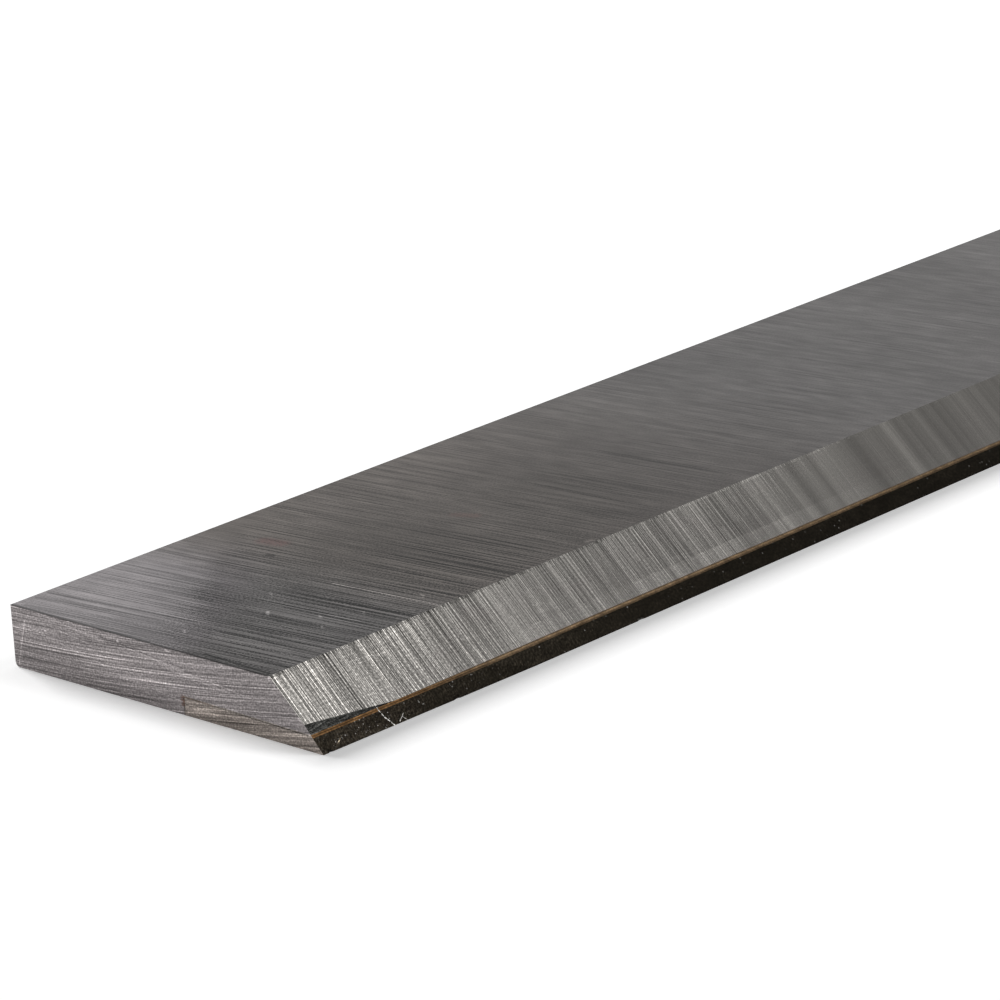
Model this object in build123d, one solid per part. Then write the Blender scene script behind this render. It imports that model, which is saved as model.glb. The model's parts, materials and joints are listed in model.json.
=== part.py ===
from build123d import *
import os
from math import radians, tan

# A carbide-tipped planer knife, lying on its flat face with the bevel up.
# The origin is the middle of the flat face, +X runs along the knife, the cutting edge is towards -Y
# and +Z is up. Sizes are in millimetres and angles in degrees.

# The whole knife
knife_length = 260.0
knife_width = 20.0        # back edge to cutting edge
knife_thickness = 3.0     # flat face to clamping face
back_edge_radius = 0.25   # worn corner between the back edge and the flat face

# The ground slope on the cutting side, as angles from the flat face
bevel_angle = 43.0        # coarse bevel on the steel
facet_angle = 45.5        # fine facet on the carbide and the braze

# The carbide strip, the seat under it and the braze that fills what is between
carbide_width = 8.8       # on the flat face, cutting edge to rear face
carbide_thickness = 0.80  # at the rear face, where it is thickest
seat_slope = 1.1          # the seat comes down by this much towards the cutting edge
braze_floor = 0.12        # between the strip and the floor of the seat
braze_shoulder = 0.07     # between the strip and the shoulder of the seat

# The near end, where both wheels ran a little deeper
bevel_recess = 0.13       # what the steel bevel lost at the end face, measured level
bevel_run_out = 22.0      # from the end face to where the bevel is whole again
edge_recess = 0.25        # what the cutting edge lost at the end face
edge_run_out = 13.5       # from the end face to where the cutting edge is whole again
facet_climb = 0.41        # how far the facet climbs the steel bevel at the end face, measured upright

# Places that follow from the sizes
near_end = -knife_length / 2
back_y = knife_width / 2
edge_y = -knife_width / 2
carbide_rear_y = edge_y + carbide_width
shoulder_y = carbide_rear_y + braze_shoulder
seat_drop = tan(radians(seat_slope))      # fall of the seat for each millimetre towards the edge
bevel_rise = tan(radians(bevel_angle))    # climb of the bevel for each millimetre from the edge
facet_rise = tan(radians(facet_angle))    # climb of the facet for each millimetre from the edge
seat_height = carbide_thickness + braze_floor   # floor of the seat above the strip's rear face


def where_facet_meets(rear_height):
    """Point (y, z) of the facet on a line that leaves the strip's rear face and falls with the seat."""
    z = (rear_height - seat_drop * carbide_width) / (1 - seat_drop / facet_rise)
    return edge_y + z / facet_rise, z


carbide_nose = where_facet_meets(carbide_thickness)   # top of the carbide on the facet
steel_nose = where_facet_meets(seat_height)           # top of the braze, where the steel bevel starts
seat_corner = (shoulder_y, seat_height + seat_drop * braze_shoulder)
bevel_top_y = steel_nose[0] + (knife_thickness - steel_nose[1]) / bevel_rise


def bar(corners):
    """A bar of the whole knife's length with this outline, given as (y, z) corners."""
    with BuildPart() as made:
        with BuildSketch(Plane.YZ):
            with BuildLine():
                Polyline(*corners, close=True)
            make_face()
        extrude(amount=knife_length / 2, both=True)
    return made.part


def grind(piece, low, high, run_out):
    """Take off what stands proud of the plane through three points: two on the end face and one further in."""
    outward = (run_out - low).cross(high - low)
    return split(piece, bisect_by=Plane(origin=low, z_dir=outward), keep=Keep.BOTTOM)


def grind_facet(piece):
    """The facet, turned a little deeper into the near end than the rest."""
    low = Vector(near_end, edge_y + edge_recess, 0)
    high_y = steel_nose[0] + bevel_recess + facet_climb / bevel_rise
    high = Vector(near_end, high_y, steel_nose[1] + facet_climb)
    run_out = Vector(near_end + edge_run_out, edge_y, 0)
    return grind(piece, low, high, run_out)


def grind_bevel(piece):
    """The steel bevel, turned a little deeper into the near end than the rest."""
    low = Vector(near_end, steel_nose[0] + bevel_recess, steel_nose[1])
    high = Vector(near_end, bevel_top_y + bevel_recess, knife_thickness)
    run_out = Vector(near_end + bevel_run_out, *steel_nose)
    return grind(piece, low, high, run_out)


def steel_body():
    """The steel: back edge, clamping face, bevel, and the seat for the strip in its flat face."""
    blank = bar([
        (back_y, 0),
        (back_y, knife_thickness),
        (bevel_top_y, knife_thickness),
        steel_nose,
        seat_corner,
        (shoulder_y, 0),
    ])
    lower_back_edge = blank.edges().filter_by(Axis.X).group_by(Axis.Z)[0].sort_by(Axis.Y)[-1]
    rounded = fillet(lower_back_edge, radius=back_edge_radius)
    return grind_facet(grind_bevel(rounded))


def braze_layer():
    """The braze: a thin floor over the strip and a thinner leg down its rear face."""
    return grind_facet(bar([
        (shoulder_y, 0),
        seat_corner,
        steel_nose,
        carbide_nose,
        (carbide_rear_y, carbide_thickness),
        (carbide_rear_y, 0),
    ]))


def carbide_strip():
    """The carbide: a strip that is flush with the flat face and carries the cutting edge."""
    return grind_facet(bar([
        (carbide_rear_y, 0),
        (carbide_rear_y, carbide_thickness),
        carbide_nose,
        (edge_y, 0),
    ]))


pieces = {
    "steel_body": steel_body(),
    "braze_layer": braze_layer(),
    "carbide_strip": carbide_strip(),
}

os.makedirs("parts", exist_ok=True)
for name, piece in pieces.items():
    piece.label = name
    export_step(piece, f"parts/{name}.step")
    size = piece.bounding_box().size
    print(f"{name}: {piece.volume:.2f} mm3, {size.X:.2f} x {size.Y:.2f} x {size.Z:.2f} mm")

print(f"Clamping face: {back_y - bevel_top_y:.3f} mm wide, from y {bevel_top_y:.3f} to {back_y:.3f}")
print(f"Braze on the facet: z {carbide_nose[1]:.3f} to {steel_nose[1]:.3f}")
print(f"Steel bevel: starts at y {steel_nose[0]:.3f}")
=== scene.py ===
# %% [markdown]
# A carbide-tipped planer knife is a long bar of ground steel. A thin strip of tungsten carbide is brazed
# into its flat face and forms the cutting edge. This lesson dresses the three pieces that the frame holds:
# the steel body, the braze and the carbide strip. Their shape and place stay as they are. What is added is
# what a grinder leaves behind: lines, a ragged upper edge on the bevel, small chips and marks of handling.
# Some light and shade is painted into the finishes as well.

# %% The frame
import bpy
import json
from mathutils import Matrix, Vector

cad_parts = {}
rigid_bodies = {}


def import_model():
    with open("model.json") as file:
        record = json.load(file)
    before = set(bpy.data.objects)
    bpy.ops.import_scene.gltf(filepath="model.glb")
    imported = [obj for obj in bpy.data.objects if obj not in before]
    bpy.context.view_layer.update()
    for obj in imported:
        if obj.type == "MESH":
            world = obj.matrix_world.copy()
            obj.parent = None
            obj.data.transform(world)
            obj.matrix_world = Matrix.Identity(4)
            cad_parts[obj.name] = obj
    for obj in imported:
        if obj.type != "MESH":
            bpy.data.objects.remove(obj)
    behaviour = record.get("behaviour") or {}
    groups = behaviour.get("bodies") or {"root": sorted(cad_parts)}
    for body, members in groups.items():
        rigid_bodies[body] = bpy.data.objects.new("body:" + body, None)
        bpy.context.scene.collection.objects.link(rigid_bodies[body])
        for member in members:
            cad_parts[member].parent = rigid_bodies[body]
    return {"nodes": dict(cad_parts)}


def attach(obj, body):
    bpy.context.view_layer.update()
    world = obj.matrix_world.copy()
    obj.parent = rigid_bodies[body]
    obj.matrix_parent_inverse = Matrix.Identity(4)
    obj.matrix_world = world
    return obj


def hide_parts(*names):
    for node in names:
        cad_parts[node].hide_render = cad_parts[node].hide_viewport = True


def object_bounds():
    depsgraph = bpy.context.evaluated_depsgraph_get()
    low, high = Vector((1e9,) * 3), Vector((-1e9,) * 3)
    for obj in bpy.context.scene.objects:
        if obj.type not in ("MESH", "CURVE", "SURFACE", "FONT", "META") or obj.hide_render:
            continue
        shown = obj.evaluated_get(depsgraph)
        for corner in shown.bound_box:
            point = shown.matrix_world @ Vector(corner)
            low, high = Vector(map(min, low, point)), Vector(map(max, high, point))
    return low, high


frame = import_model()
cad_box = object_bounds()
print("CAD box in metres:", [tuple(round(c, 5) for c in corner) for corner in cad_box])

# %% [markdown]
# Blender works in metres, while a grinder thinks in millimetres and microns. A few places on the knife are
# read from the frame, so that everything that follows is tied to the pieces themselves. The section at the
# far end is whole, so the corners of the bevel are read there.

# %% Places on the knife
import json
from math import atan2, cos, degrees, pi, radians, sin

import bmesh
import bpy
from mathutils import Matrix, Vector, noise
from mathutils.bvhtree import BVHTree

MM = 0.001
MICRON = 0.001 * MM
hair = 0.01 * MM           # places nearer to each other than this count as one
scene = bpy.context.scene
near_end, far_end = cad_box[0].x, cad_box[1].x
edge_y, back_y = cad_box[0].y, cad_box[1].y
top_z = cad_box[1].z
far_corners = [v.co for v in frame["nodes"]["steel_body"].data.vertices if far_end - v.co.x < hair]
bevel_top_y = min(c.y for c in far_corners if top_z - c.z < hair)
nose = min(far_corners, key=lambda c: c.y)
bevel_slope = atan2(top_z - nose.z, bevel_top_y - nose.y)
bevel_normal = Vector((0, -sin(bevel_slope), cos(bevel_slope)))
down_slope = Vector((0, -cos(bevel_slope), -sin(bevel_slope)))
bevel_top = Vector((0, bevel_top_y, top_z))
print(f"Bevel: {degrees(bevel_slope):.1f} degrees, from y {bevel_top_y / MM:.2f} to y {nose.y / MM:.2f} mm")

# %% [markdown]
# The camera looks down on the near corner from about eighteen degrees, as in the photograph. Its place, its
# direction and a small tilt were measured from the photograph's long edges and from the end of the knife.
# A long lens this near to a small object makes the bar shrink only a little towards its far end.

# %% The camera
camera_place = Vector((-263.34, -146.79, 74.00)) * MM
camera_heading, camera_dip, camera_tilt = radians(43.316), radians(18.219), radians(-3.294)
picture_side = 1000        # pixels
focal_length = 4740.07     # pixels
camera_data = bpy.data.cameras.new("camera")
camera_data.sensor_width = 36      # mm
camera_data.lens = focal_length / picture_side * camera_data.sensor_width
camera_data.clip_start, camera_data.clip_end = 0.01, 50
camera = bpy.data.objects.new("camera", camera_data)
scene.collection.objects.link(camera)
level = Vector((cos(camera_heading), sin(camera_heading), 0))
view = cos(camera_dip) * level - sin(camera_dip) * Vector((0, 0, 1))
turn = view.to_track_quat("-Z", "Y").to_matrix() @ Matrix.Rotation(camera_tilt, 3, "Z")
camera.matrix_world = Matrix.Translation(camera_place) @ turn.to_4x4()
scene.camera = camera
scene.view_settings.view_transform = "Standard"
print(f"Camera: {camera_data.lens:.0f} mm lens, {camera_place.length:.2f} m from the middle of the knife")

# %% [markdown]
# The steel body is nearly the whole knife: back edge, top face, bevel and the seat that the carbide lies
# in. It could be drawn anew, but its shape is already in the frame, so a copy is the surest way to keep its
# size. The node comes as loose triangles. The copy is merged, and its flat faces are made whole again, so
# that later cuts cross one large face and not a fan of triangles.

# %% A merged copy of the steel body
merge_distance = 0.002 * MM
flat_within = radians(1)


def merged_copy(node):
    """The node's own shape as a bmesh, with its flat faces whole."""
    form = bmesh.new()
    form.from_mesh(frame["nodes"][node].data)
    bmesh.ops.remove_doubles(form, verts=form.verts, dist=merge_distance)
    bmesh.ops.dissolve_limit(form, angle_limit=flat_within, verts=form.verts, edges=form.edges)
    form.normal_update()
    return form


steel = merged_copy("steel_body")
print("Steel body:", len(steel.faces), "flat faces")

# %% [markdown]
# Every side of the knife was ground in its own way, so each gets its own finish. A choice of faces by hand
# would be lost with the next change of shape. Here the direction that a face looks in tells which side it
# is, and the number of the side is kept as its material index. Faces that are cut later keep that number.

# %% The sides of the steel body
TOP, BEVEL, END, BACK, FACET, UNDER = range(6)
straight, slanting = 0.9, 0.5      # how much of a normal lies along an axis


def steel_side(n):
    """Which side of the steel body looks this way."""
    if abs(n.x) > straight:
        return END
    if n.y > straight:
        return BACK
    if n.dot(bevel_normal) > cos(flat_within):
        return BEVEL
    if n.y < -slanting and n.z > slanting:
        return FACET
    return TOP if n.z > slanting else UNDER


for f in steel.faces:
    f.material_index = steel_side(f.normal)
print("Sides of the faces:", sorted(f.material_index for f in steel.faces))

# %% [markdown]
# The grooves of the bevel change a little on their way down, so the bevel needs rows of points as well. A
# plane cuts it into bands from top to bottom. The first band is very narrow: it holds the ragged upper edge
# apart from the even slope below.

# %% Bands on the bevel
edge_band = 0.04 * MM
bands = 4
cut_tolerance = 1e-7
bevel_height = (nose - bevel_top).dot(down_slope)


def cut(form, point, normal, geom=None):
    """Cut along a plane and return what lies on both sides of it."""
    geom = geom or form.verts[:] + form.edges[:] + form.faces[:]
    made = bmesh.ops.bisect_plane(form, geom=geom, dist=cut_tolerance, plane_co=point, plane_no=normal)
    return made["geom"]


def parts_of(faces):
    """The faces with their own edges and points, as an operator wants them."""
    edges = {e for f in faces for e in f.edges}
    return [*{v for f in faces for v in f.verts}, *edges, *faces]


for band in range(bands):
    bevel_faces = [f for f in steel.faces if f.material_index == BEVEL]
    down = edge_band + (bevel_height - edge_band) * band / bands
    cut(steel, bevel_top + down_slope * down, down_slope, parts_of(bevel_faces))
print(f"Bevel: {bevel_height / MM:.2f} mm down the slope, {bands} cuts")

# %% [markdown]
# Relief needs points to move, so the body is cut across its length into thin slabs, a twenty-fifth of a
# millimetre each. At the near end this goes slab by slab, because the low facet climbs the bevel there and
# every section differs. Only what lies ahead of the last cut is cut again, which keeps it quick.

# %% Slabs at the near end
fine_slab = 0.04 * MM
climb_length = 6 * MM      # the facet comes down from the bevel within this length


def slice_near_end(form):
    """Cut the near end one slab at a time and return the place of the last cut."""
    ahead, x = None, near_end
    while x < near_end + climb_length:
        x += fine_slab
        made = cut(form, (x, 0, 0), (1, 0, 0), ahead)
        faces = [g for g in made if isinstance(g, bmesh.types.BMFace)]
        ahead = parts_of([f for f in faces if f.calc_center_median().x > x])
    return x


last_cut = slice_near_end(steel)
print(f"Sliced to {(last_cut - near_end) / MM:.2f} mm from the end, {len(steel.faces)} faces")

# %% [markdown]
# Further along, every face is a strip between two long edges, so dividing those edges evenly makes all the
# slabs of a stretch in one step. The outline has a corner where the deeper grinding of the near end runs
# out, and a stretch ends there. Beyond what the camera sees the slabs may be wider.

# %% Slabs along the rest
coarse_slab = 0.13 * MM
fine_length = 75 * MM


def divide(form, start, stop, slab):
    """Divide the long edges between two cuts evenly, which makes slabs all round."""
    length = stop - start
    long_edges = [e for e in form.edges if abs(abs(e.verts[0].co.x - e.verts[1].co.x) - length) < hair
                  and start < (e.verts[0].co.x + e.verts[1].co.x) / 2 < stop]
    slabs = round(length / slab)
    bmesh.ops.subdivide_edges(form, edges=long_edges, cuts=slabs - 1, use_grid_fill=True)
    return slabs


def slice_the_rest(form, start):
    """Slabs from one corner of the outline to the next, up to the far end."""
    fine_end = near_end + fine_length
    corners = {v.co.x for v in form.verts if start + fine_slab < v.co.x < far_end - fine_slab}
    slabs = 0
    for stop in sorted(corners | {fine_end}) + [far_end]:
        if stop - start < fine_slab:
            continue
        if stop < far_end:
            cut(form, (stop, 0, 0), (1, 0, 0))
        slabs += divide(form, start, stop, fine_slab if stop <= fine_end else coarse_slab)
        start = stop
    return slabs


print("Slabs along the rest:", slice_the_rest(steel, last_cut))

# %% [markdown]
# A grinding wheel cuts a comb of grooves, each a few microns deep and no two alike. A smooth noise gives
# the slow rise and fall of the surface, and a second one with a very short wave makes every slab differ
# from its neighbour. Both are fixed, so the knife comes out the same each time. The grooves get shallower
# along the knife, because the photograph is sharp at the near end and soft further on.

# %% Groove depths
groove_depth = 0.008 * MM
slow_wave, slow_gain, slow_layer = 0.9 * MM, 0.45, 3.7
short_wave, short_gain, short_layer = 0.037 * MM, 0.75, 11.3
short_drift = 0.35         # how fast the short wave changes from row to row
soft_start, soft_end, soft_share = 6 * MM, 40 * MM, 0.15


def groove(x, row=0.0):
    """How far the wheel cut below the plane at this place, from 0 to 1."""
    slow = noise.noise(Vector((x / slow_wave, row, slow_layer)))
    short = noise.noise(Vector((x / short_wave, short_drift * row, short_layer)))
    return min(1.0, max(0.0, 0.5 + slow_gain * slow + short_gain * short))


def softer(x):
    """How much of the relief is left at this place: all of it near the end and less further on."""
    share = min(1.0, max(0.0, (x - near_end - soft_start) / (soft_end - soft_start)))
    return 1.0 + (soft_share - 1.0) * share * share * (3 - 2 * share)


depths = [groove(near_end + number * fine_slab) for number in range(500)]
print(f"Groove depths: mean {groove_depth * sum(depths) / len(depths) / MICRON:.1f} microns")

# %% [markdown]
# The points of the bevel sink by the depth of their groove, straight into the steel. Where the grooves run
# out through the top face they leave its edge ragged, like a fine comb. The points of that edge are pushed
# back along the top face, never outwards, so the knife keeps its size. The lowest points of the bevel,
# which touch the braze, stay where they are.

# %% Grooves and a ragged edge
comb_depth = 0.03 * MM
comb_row = 40.0            # a row of the noise that no point of the bevel uses
sunk = pushed = 0
for v in steel.verts:
    sides = {f.material_index for f in v.link_faces}
    if BEVEL in sides and sides <= {BEVEL, END}:
        down = (v.co - bevel_top).dot(down_slope)
        v.co -= bevel_normal * groove_depth * softer(v.co.x) * groove(v.co.x, down / MM)
        sunk += 1
    elif {BEVEL, TOP} <= sides and top_z - v.co.z < MICRON:
        v.co.y += comb_depth * softer(v.co.x) * groove(v.co.x, comb_row)
        pushed += 1
print(f"{sunk} points sunk, {pushed} pushed back, {sum(len(f.verts) - 2 for f in steel.faces)} triangles")

# %% [markdown]
# The braze is the brass-coloured metal that fills the gap between seat and strip. It is far too thin to
# need relief, and a merged copy is enough. Only its two ends are told apart from its sides, because they are
# ground together with the steel. The middle of its front side is measured as well: a dark seam is drawn
# there later, where the braze pulled back a little on cooling.

# %% The braze
BRAZE_SIDE, BRAZE_END = range(2)
braze = merged_copy("braze_layer")
front_limit = -5 * MM      # the front side of the braze lies beyond this
seam_height = 0.7 * MM
front = sorted((v.co.copy() for v in braze.verts if v.co.y < front_limit), key=lambda c: c.x)
upper = [c for c in front if c.z > seam_height]
lower = [c for c in front if c.z < seam_height]
seam_line = [(a + b) / 2 for a, b in zip(upper, lower)]
for f in braze.faces:
    f.material_index = BRAZE_END if abs(f.normal.x) > straight else BRAZE_SIDE
print("Seam of the braze:", [tuple(round(c / MM, 2) for c in place) for place in seam_line])

# %% [markdown]
# Tungsten carbide is hard but brittle, so its edge does not bend: small crumbs break out of it. Three such
# chips can be seen. Cutting them out with another solid would work, but each is only a shallow notch. So
# three lines are cut across the facet, one below the chip's top, and the middle point of the edge is pushed
# back. The notch is then two small slanting faces.

# %% The chipped carbide
CARBIDE_END, CARBIDE_FACET, CARBIDE_FLAT = range(3)
chips = [(0.45, 0.25, 0.06), (8.37, 0.4, 0.06), (20.76, 0.5, 0.05)]     # place, width and depth in mm
chip_height = 0.13 * MM
edge_zone = 0.3 * MM


def chip(form, along, width, depth):
    """Break a small notch out of the cutting edge."""
    middle, half = near_end + along * MM, 0.5 * width * MM
    for x in (middle - half, middle, middle + half):
        cut(form, (x, 0, 0), (1, 0, 0))
    chipped = [f for f in form.faces
               if f.normal.y < -slanting and abs(f.calc_center_median().x - middle) < half]
    cut(form, (0, 0, chip_height), (0, 0, 1), parts_of(chipped))
    for v in form.verts:
        if v.co.z < hair and v.co.y < edge_y + edge_zone and abs(v.co.x - middle) < MICRON:
            v.co.y += depth * MM


def carbide_side(n):
    """Which side of the carbide strip looks this way."""
    if abs(n.x) > straight:
        return CARBIDE_END
    return CARBIDE_FACET if n.y < -slanting else CARBIDE_FLAT


carbide = merged_copy("carbide_strip")
for along, width, depth in chips:
    chip(carbide, along, width, depth)
for f in carbide.faces:
    f.material_index = carbide_side(f.normal)
print(f"Carbide: {len(chips)} chips, {sum(len(f.verts) - 2 for f in carbide.faces)} triangles")

# %% [markdown]
# A model that leaves Blender carries its colours in pictures, and a map says which pixel belongs to which
# place. A knife is thirteen times as long as it is wide, so a plain map would waste most of a square
# picture. This map folds the knife into rows, like lines of text. Each side of the knife is a chart with its
# own fineness: fine enough along the knife for the lines, coarser across it, and next to nothing for the
# faces inside the joint.

# %% Rows and charts of the map
picture = 1024             # pixels
rows = 5
row_length = (far_end - near_end) / rows
pixels_along = 19.4        # for each millimetre
gap = 4                    # pixels


def cut_into_rows(form):
    """Cut a piece where one row of the map ends and the next begins."""
    for row in range(1, rows):
        cut(form, (near_end + row * row_length, 0, 0), (1, 0, 0))


def lay_chart(layer, faces, chart, low, base, row_height):
    """Lay one side out in rows. The line where it is lowest comes at the base of its row."""
    along_y, along_z, pixels = chart
    for f in faces:
        row = min(rows - 1, int((f.calc_center_median().x - near_end) / row_length))
        for loop in f.loops:
            x, y, z = loop.vert.co
            u = gap + (x - near_end - row * row_length) / MM * pixels_along
            v = base + row * row_height + (along_y * y + along_z * z - low) / MM * pixels
            loop[layer].uv = (u / picture, v / picture)


def lay_ends(layer, faces, base, pixels):
    """Lay the two end faces out side by side, each as it is seen from outside."""
    for f in faces:
        for loop in f.loops:
            x, y, z = loop.vert.co
            u = gap + (back_y - y if x < 0 else y - edge_y) / MM * pixels[0] + (0 if x < 0 else picture / 2)
            v = base + z / MM * pixels[1]
            loop[layer].uv = (u / picture, v / picture)


print(f"Map: {rows} rows of {row_length / MM:.0f} mm, {row_length / MM * pixels_along:.0f} pixels long")

# %% [markdown]
# The sides are shared out over the charts, each chart is measured, and the rows are made as high as all the
# charts together. An automatic unwrap would scatter hundreds of pieces over the picture. Laid out by rule,
# each side is one even band, and the lines on it stay straight.

# %% The map of the steel body
bake_layer = "OFBake"
steel_charts = [(1, 0, 5.2), (1, 1, 5.7), (-1, -1, 3.2), (-1, 1, 0.8)]  # share of Y, of Z, pixels per mm
steel_end_pixels = (16, 30)
round_corner = 0.3 * MM    # the rounded lower corner of the back edge ends below this
forward = -0.1             # a normal with less Y than this looks towards the cutting edge


def steel_chart(f):
    """The top face, the bevel with the facet, the outer faces from the back edge down, or the seat."""
    if f.material_index in (BEVEL, FACET):
        return 1
    if f.material_index == TOP:
        return 0
    outside = f.material_index == BACK or f.normal.y > forward and f.calc_center_median().z < round_corner
    return 2 if outside else 3


def unfold(form, chart_of, charts, end_pixels):
    """Lay the faces of a piece out flat, chart above chart and the two ends above them all."""
    layer = form.loops.layers.uv.new(bake_layer)
    form.normal_update()
    groups, ends, spans = [[] for chart in charts], [], []
    for f in form.faces:
        (ends if abs(f.normal.x) > straight else groups[chart_of(f)]).append(f)
    for faces, (along_y, along_z, pixels) in zip(groups, charts):
        values = [along_y * v.co.y + along_z * v.co.z for f in faces for v in f.verts]
        spans.append((min(values), (max(values) - min(values)) / MM * pixels + gap))
    row_height = sum(height for low, height in spans)
    base = gap
    for faces, chart, (low, height) in zip(groups, charts, spans):
        lay_chart(layer, faces, chart, low, base, row_height)
        base += height
    lay_ends(layer, ends, gap + rows * row_height, end_pixels)
    print(f"{rows} rows of {row_height:.0f} pixels and the ends above them, of {picture} in all")


unfold(steel, steel_chart, steel_charts, steel_end_pixels)

# %% [markdown]
# The braze and the carbide have few faces, and none of them ends where a row does. So they are first cut
# there, or a face would run on past the edge of the picture. Their outer sides get most of the height,
# because those are all that is seen of them.

# %% The maps of the braze and the carbide
braze_charts, braze_end_pixels = [(1, 1, 100), (-1, 0, 60), (1, -1, 4), (-1, 1, 4)], (50, 100)
carbide_charts, carbide_end_pixels = [(1, 1, 40), (-1, 0, 12), (1, -1, 1)], (40, 100)
flat_height = 0.1 * MM


def braze_chart(f):
    """The front side, the line in the flat face, the faces on the seat, or those on the carbide."""
    if f.normal.y < -slanting and f.normal.z > slanting:
        return 0
    if f.normal.z > slanting or f.normal.y > slanting:
        return 2
    return 1 if f.calc_center_median().z < flat_height else 3


def carbide_chart(f):
    """The facet, the flat face, or the faces towards the braze."""
    if f.normal.y < -slanting:
        return 0
    return 1 if f.normal.z < -slanting else 2


cut_into_rows(braze)
unfold(braze, braze_chart, braze_charts, braze_end_pixels)
cut_into_rows(carbide)
unfold(carbide, carbide_chart, carbide_charts, carbide_end_pixels)

# %% [markdown]
# Every finish here is ground metal, and all of them are built from the same few nodes. They could be placed
# by hand in the shader editor. But eleven finishes of up to three hundred nodes are easier to read as
# formulas, so three small helpers add a node, do one step of arithmetic, and make one smooth step.

# %% Helpers for nodes
def add(tree, kind, inputs=None, **settings):
    """Add a node with its settings. A socket among the inputs is linked, a value is set."""
    made = tree.nodes.new("ShaderNode" + kind)
    for name, value in settings.items():
        setattr(made, name, value)
    for name, value in (inputs or {}).items():
        if isinstance(value, bpy.types.NodeSocket):
            tree.links.new(value, made.inputs[name])
        else:
            made.inputs[name].default_value = value
    return made


def calc(tree, operation, a, b=0.0, c=0.0):
    """One step of arithmetic."""
    return add(tree, "Math", {0: a, 1: b, 2: c}, operation=operation).outputs[0]


def step(tree, value, start, stop, low=0.0, high=1.0):
    """A smooth step of a value from start to stop."""
    inputs = {"Value": value, "From Min": start, "From Max": stop, "To Min": low, "To Max": high}
    return add(tree, "MapRange", inputs, interpolation_type="SMOOTHSTEP").outputs[0]


print("Materials before the finishes:", len(bpy.data.materials))

# %% [markdown]
# A wheel leaves long fine lines. Noise does the same if it is drawn out: a Mapping node makes its pattern
# narrow across the lines and long along them. Several layers of different widths, added up, look like the
# work of a real wheel, in which coarse and fine grains cut side by side. A picture of brushed steel would
# be quicker, but it would repeat, and it could not follow the marks on this knife.

# %% Layers of strokes
seed_move = (3.1, 7.7)     # each seed looks at the noise from a place this many strokes further on


def strokes(tree, place, width, length, angle, seed):
    """Noise drawn out into strokes of about this width and length in mm."""
    move = (seed_move[0] * seed, seed_move[1] * seed, 0)
    inputs = {"Vector": place, "Location": move, "Rotation": (0, 0, angle), "Scale": (width, length, 1)}
    moved = add(tree, "Mapping", inputs, vector_type="TEXTURE").outputs[0]
    inputs = {"Vector": moved, "Scale": 1.0, "Detail": 1.0}
    return add(tree, "TexNoise", inputs, noise_dimensions="2D").outputs["Fac"]


def lay_lines(tree, place, layers, seed):
    """Add up layers of strokes: width, length, gain and, if they cross the others, an angle in degrees."""
    total = -0.5 * sum(layer[2] for layer in layers)
    for number, (width, length, gain, *angle) in enumerate(layers):
        layer = strokes(tree, place, width, length, radians(sum(angle)), seed + number)
        total = calc(tree, "MULTIPLY_ADD", layer, gain, total)
    return total


print("A new seed moves the noise by", seed_move)

# %% [markdown]
# Here and there a single grain stood out and left a long thin line that fades in and out. Where drawn-out
# noise passes its middle value it does so along just such lines, so taking only what is near the middle
# gives them, and a second noise lets them fade. Drawing each line by hand would take thousands of marks.

# %% Single long lines
thread_reach = 9.0         # the noise is drawn out this many times the length of a line
fade_width = 1.5           # and its fading is this many times as wide as the spacing
fade_start, fade_stop = 0.46, 0.58
fade_seed = 0.5
thread_seed = 20


def thin_lines(tree, place, spacing, length, thinness, angle, seed):
    """Long thin lines where drawn-out noise passes its middle value, each fading in and out."""
    layer = strokes(tree, place, spacing, thread_reach * length, radians(angle), seed)
    off = calc(tree, "ABSOLUTE", calc(tree, "SUBTRACT", layer, 0.5))
    line = step(tree, off, 0.0, thinness, 1.0, 0.0)
    layer = strokes(tree, place, fade_width * spacing, length, radians(angle), seed + fade_seed)
    return calc(tree, "MULTIPLY", line, step(tree, layer, fade_start, fade_stop))


def wheel_lines(tree, place, layers, threads, seed):
    """Layers of strokes with threads over them: spacing, length, thinness, strength and maybe an angle."""
    lines = lay_lines(tree, place, layers, seed)
    for number, (spacing, length, thinness, strength, *angle) in enumerate(threads):
        mask = thin_lines(tree, place, spacing, length, thinness, sum(angle), seed + thread_seed + number)
        lines = calc(tree, "MULTIPLY_ADD", mask, strength, lines)
    return lines


print(f"A line 10 mm long comes from noise drawn out to {thread_reach * 10:.0f} mm")

# %% [markdown]
# Most of what is seen on a worn knife belongs to one place: a scratch from handling here, a corner
# darkened by painted shade there. Two kinds of mask say where. A run rises softly from one place to another,
# and a mark is a short straight stroke with soft sides. Both compare the shaded place with points in the
# piece's own coordinates, so they stay put when the knife moves. A painted picture would do it too, but
# points can be measured and checked.

# %% Masks between two places
firm_part = 0.15           # how much of a mark's width is at full strength


def way_along(tree, place, start, stop):
    """How far along the run from start to stop a place lies: 0 beside the start and 1 beside the stop."""
    run = stop - start
    rel = add(tree, "VectorMath", {0: place, 1: start}, operation="SUBTRACT").outputs[0]
    inputs = {0: rel, 1: run / run.length_squared}
    return rel, add(tree, "VectorMath", inputs, operation="DOT_PRODUCT").outputs["Value"]


def ramps(tree, place, runs):
    """A soft mask that rises from 0 to 1 along each run. Several runs are multiplied."""
    mask = 1.0
    for start, stop in runs:
        rise = step(tree, way_along(tree, place, start, stop)[1], 0.0, 1.0)
        mask = calc(tree, "MULTIPLY", rise, mask)
    return mask


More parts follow.
